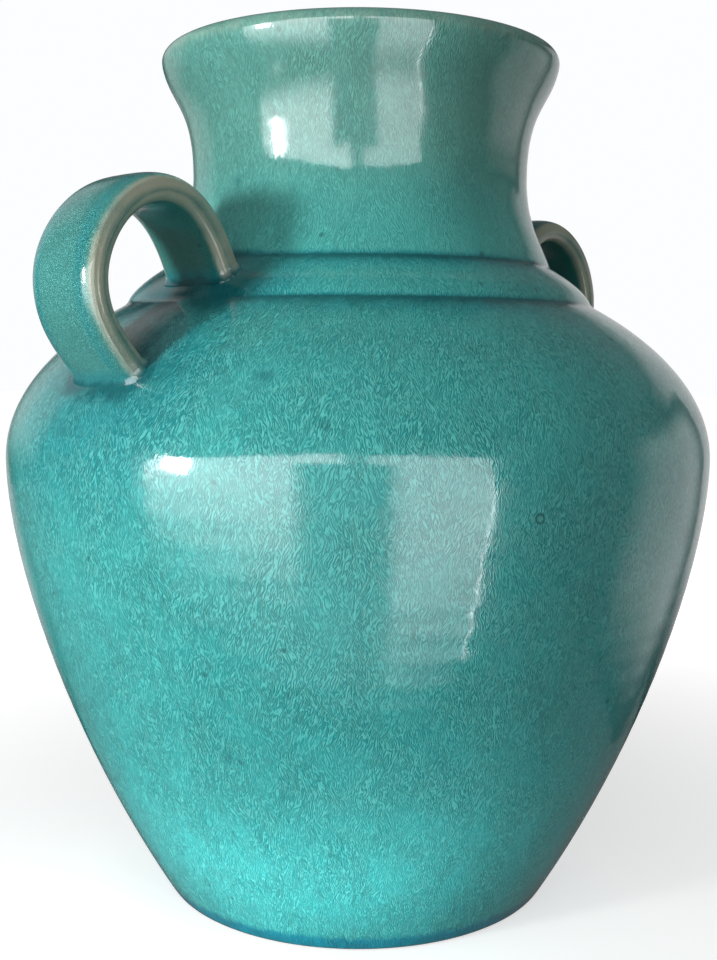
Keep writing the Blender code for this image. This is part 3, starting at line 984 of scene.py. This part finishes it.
def window_fade(nodes, across, rise):
    """Two bright panes with soft lower edges, a dimmer gap between them, and a bright frame on the right."""
    header = nodes.range(rise, 0.89, 0.92)
    left = nodes.math('MAXIMUM', nodes.range(across, 0.65, 0.61),
                      nodes.math('MULTIPLY', nodes.range(across, 0.708, 0.700), header))
    left = nodes.math('MULTIPLY', left, nodes.range(rise, 0.26, 0.78, 0.08, 1.0))
    right_pane = nodes.math('MAXIMUM', nodes.range(across, 0.77, 0.80),
                            nodes.math('MULTIPLY', nodes.range(across, 0.738, 0.746), header))
    right_pane = nodes.math('MULTIPLY', right_pane, nodes.range(rise, 0.0, 0.60, 0.10, 0.72))
    frame_edge = nodes.math('MULTIPLY', nodes.range(across, 0.982, 0.986), nodes.range(across, 1.0, 0.996))
    frame_edge = nodes.math('MULTIPLY', frame_edge, nodes.range(rise, 0.10, 0.18))
    frame_edge = nodes.math('MULTIPLY', frame_edge, nodes.range(rise, 0.90, 0.70, 0.3, 1.9))
    right_pane = nodes.math('MAXIMUM', right_pane, frame_edge)
    level = nodes.math('MAXIMUM', nodes.math('MAXIMUM', left, right_pane), 0.10)
    sides = nodes.math('MULTIPLY', nodes.range(across, 0.0, 0.02), nodes.range(across, 1.0, 0.996))
    ends = nodes.math('MULTIPLY', nodes.range(rise, 1.0, 0.98), nodes.range(rise, 0.0, 0.20))
    return nodes.math('MULTIPLY', nodes.math('MULTIPLY', level, sides), ends)


def soft_edges(nodes, across, rise):
    """Bright in the middle and dark at all four edges."""
    sides = nodes.math('MULTIPLY', nodes.range(across, 0.0, 0.3), nodes.range(across, 1.0, 0.7))
    ends = nodes.math('MULTIPLY', nodes.range(rise, 0.0, 0.3), nodes.range(rise, 1.0, 0.8))
    return nodes.math('MULTIPLY', sides, ends)


def make_table_light():
    """A bright patch of table at the vase's foot, which the lower belly catches."""
    data = bpy.data.lights.new("table_light", 'SPOT')
    data.energy, data.spot_size, data.spot_blend = 40, radians(34), 0.9
    data.shadow_soft_size = 0.1
    item = linked("table_light", data)
    patch = toward(-38, 0) * 0.36
    item.matrix_world = facing_matrix(patch + toward(-38, 0) * 0.10 + up * 0.9, patch)
    item.visible_glossy = False


def make_floor():
    """A pale floor that glows towards the camera, so that it fades into the white background."""
    mesh = bpy.data.meshes.new("floor")
    corners = [(x * FLOOR_HALF, y * FLOOR_HALF, 0) for x, y in CORNERS]
    mesh.from_pydata(corners, [], [(0, 1, 2, 3)])
    floor = linked("floor", mesh)
    floor.location.z = -0.0002
    floor.visible_glossy = False
    nodes = Nodes("pale_floor")
    nodes.shader.inputs["Base Color"].default_value = (0.50, 0.50, 0.498, 1.0)
    nodes.shader.inputs["Roughness"].default_value = 0.9
    nodes.shader.inputs["Specular IOR Level"].default_value = 0.0
    seen = nodes.add("ShaderNodeLightPath", output="Is Camera Ray")
    away = nodes.distance(nodes.add("ShaderNodeTexCoord", output="Object"), (0.0, 0.0, 0.0))
    glow = nodes.math('MULTIPLY', seen, nodes.range(away, 0.12, 0.60, 0.64, 0.97))
    nodes.tree.links.new(glow, nodes.shader.inputs["Emission Strength"])
    nodes.shader.inputs["Emission Color"].default_value = (*WHITE, 1.0)
    mesh.materials.append(nodes.material)


def make_world():
    """A white background for the camera, and dim light all round for everything else."""
    world = bpy.data.worlds.new("studio")
    bpy.context.scene.world = world
    world.use_nodes = True
    tree = world.node_tree
    background = tree.nodes["Background"]
    background.inputs["Color"].default_value = (0.97, 0.985, 1.0, 1.0)
    rays = tree.nodes.new("ShaderNodeLightPath")
    choose = tree.nodes.new("ShaderNodeMix")
    choose.data_type = 'FLOAT'
    choose.inputs[2].default_value = 0.12
    choose.inputs[3].default_value = 1.0
    tree.links.new(rays.outputs["Is Camera Ray"], choose.inputs[0])
    tree.links.new(choose.outputs[0], background.inputs["Strength"])


card("window_card", screen(0.95, -2.2, -1.30, 0.82, 0.40), 6.8, (0.97, 0.98, 1.0), window_fade)
card("side_card", panel(109, -8, 0.9, 0.90, 0.90), 0.82, WHITE, soft_edges)
card("left_card", panel(-130, 20, 1.0, 0.9, 1.0), 0.50, WHITE, soft_edges)
card("back_left_card", panel(-158, -4, 1.1, 1.1, 0.9), 0.45, WHITE, soft_edges)
card("back_card", panel(150, 3, 1.2, 1.6, 1.2), 0.60, WHITE, soft_edges)
lamp("key_window", -56, -5, 0.8, 0.5, 0.18, 0.5, (1.0, 1.0, 0.96))
lamp("pane_light", -53, 6, 1.2, 0.14, 0.14, 5.0, (1.0, 1.0, 0.97))
lamp("small_pane", -53, 8, 1.2, 0.16, 0.22, 6, (0.97, 0.99, 1.0), mirrored=True)
lamp("front_fill", -20, 16, 1.3, 0.9, 0.8, 1.20, (1.0, 1.0, 0.97))
lamp("side_fill", 86, 12, 1.0, 0.6, 0.9, 0.56, (1.0, 0.98, 0.90))
lamp("top_fill", -10, 50, 1.3, 0.8, 0.8, 4.5, (1.0, 1.0, 0.98))
lamp("foot_bounce", -20, 2, 0.13, 0.24, 0.02, 0.072, (0.95, 1.0, 1.0), target=Vector((0.0, 0.0, 0.010)))
lamp("back_fill", 170, 20, 1.4, 1.2, 1.0, 2.5)
make_table_light()
make_floor()
make_world()

bpy.context.scene.view_settings.view_transform = 'Standard'
